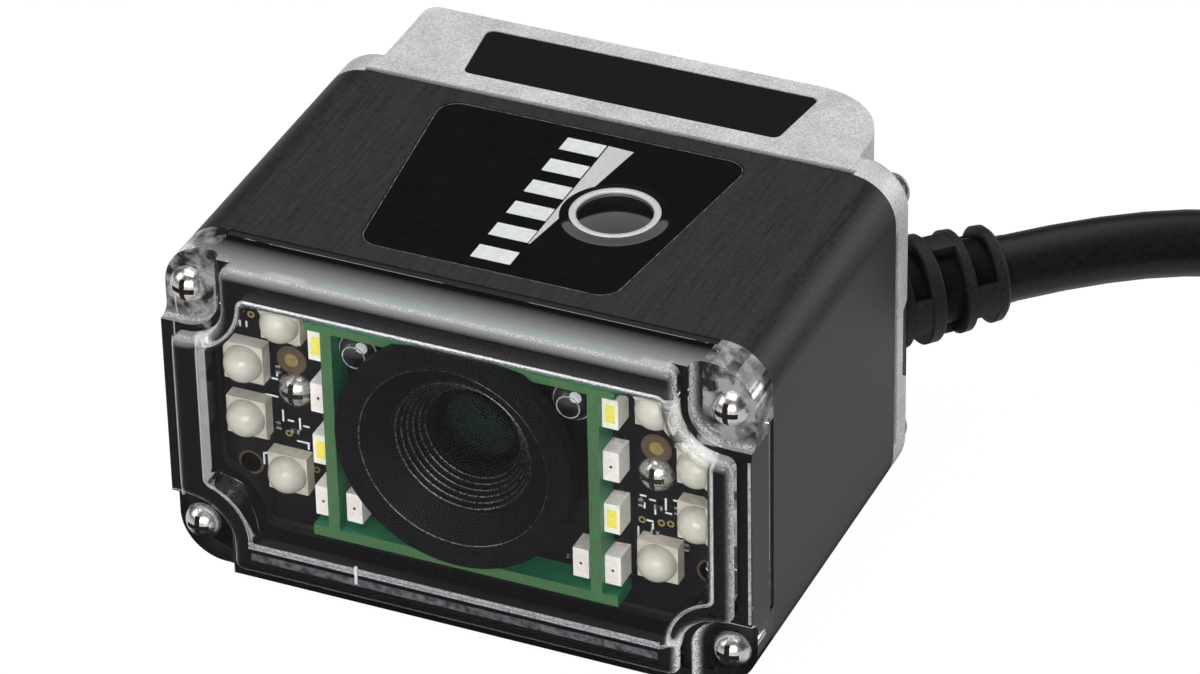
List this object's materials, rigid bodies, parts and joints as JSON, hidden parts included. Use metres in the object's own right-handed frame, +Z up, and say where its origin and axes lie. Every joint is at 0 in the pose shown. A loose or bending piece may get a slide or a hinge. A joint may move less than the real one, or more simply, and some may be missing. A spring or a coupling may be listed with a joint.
{
  "type": "barcode reader",
  "caption": "Compact fixed-mount barcode reader: black sleeve, clear front window over lens and LED board, cast rear cover, status lights with button, corner cable.",
  "frame": {"origin": "middle of the bottom of the reader's box, measured without the cable and its strain relief", "axes": "+X to the reader's right as seen from the front, the window faces -Y, +Z up"},
  "size_m": [0.1822, 0.0666, 0.0269],
  "materials": {
    "anodised_black": "satin, brushed along the length",
    "clear_plastic": "clear moulded",
    "cast_metal": "bead-blasted, fine sparkle",
    "black_rubber": "matt",
    "screw_steel": "bright",
    "plate_black": "fine grain",
    "overlay_black": "glossy sheet",
    "light_guide": "milky",
    "board_black": "solder mask",
    "board_green": "solder mask",
    "baffle_green": "cut board",
    "led_cream": "cast dome",
    "led_warm": "phosphor",
    "led_plain": "white frame",
    "optic_black": "matt",
    "lens_glass": "coated",
    "chip_black": "moulded",
    "header_white": "moulded",
    "cable_black": "satin jacket",
    "connector_black": "moulded",
    "contact_gold": "plated",
    "nut_nickel": "nickel plated"
  },
  "bodies": {
    "reader": {"housing_sleeve": "anodised_black", "front_window": "clear_plastic", "aim_leds": "clear_plastic", "rear_cover": "cast_metal", "front_gasket": "black_rubber", "rear_gasket": "black_rubber", "strain_relief": "black_rubber", "window_screws": "screw_steel", "rear_cover_screws": "screw_steel", "led_board_screws": "screw_steel", "long_board_screws": "screw_steel", "board_spacers": "screw_steel", "block_plate": "plate_black", "status_overlay": "overlay_black", "light_guide": "light_guide", "led_board": "board_black", "status_board": "board_green", "sensor_board": "board_green", "processor_board": "board_green", "baffle_left": "baffle_green", "baffle_right": "baffle_green", "baffle_bottom": "baffle_green", "baffle_top": "baffle_green", "domed_leds": "led_cream", "warm_leds": "led_warm", "plain_leds": "led_plain", "status_leds": "led_plain", "lens_holder": "optic_black", "lens_barrel": "optic_black", "optics_frame": "optic_black", "front_lens": "lens_glass", "rear_lens": "lens_glass", "image_sensor": "chip_black", "tact_switch": "chip_black", "stack_connector": "chip_black", "cable_header": "header_white", "cable": "cable_black", "cable_coil": "cable_black", "cable_tail": "cable_black", "connector_body": "connector_black", "cable_tie": "connector_black", "connector_contacts": "contact_gold"},
    "button": {"push_button": "overlay_black", "switch_plunger": "chip_black"},
    "nut": {"coupling_nut": "nut_nickel"}
  },
  "joints": [
    {"name": "button_press", "type": "slide", "parent": "reader", "child": "button", "axis": [0, 0, -1], "range_m": [0, 0.00025], "stiffness_N_per_m": 4000},
    {"name": "nut_turn", "type": "hinge", "parent": "reader", "child": "nut", "pos_m": [0.13003, 0.01443, 0.0075], "axis": [0.6536, -0.7568, 0], "continuous": true}
  ]
}
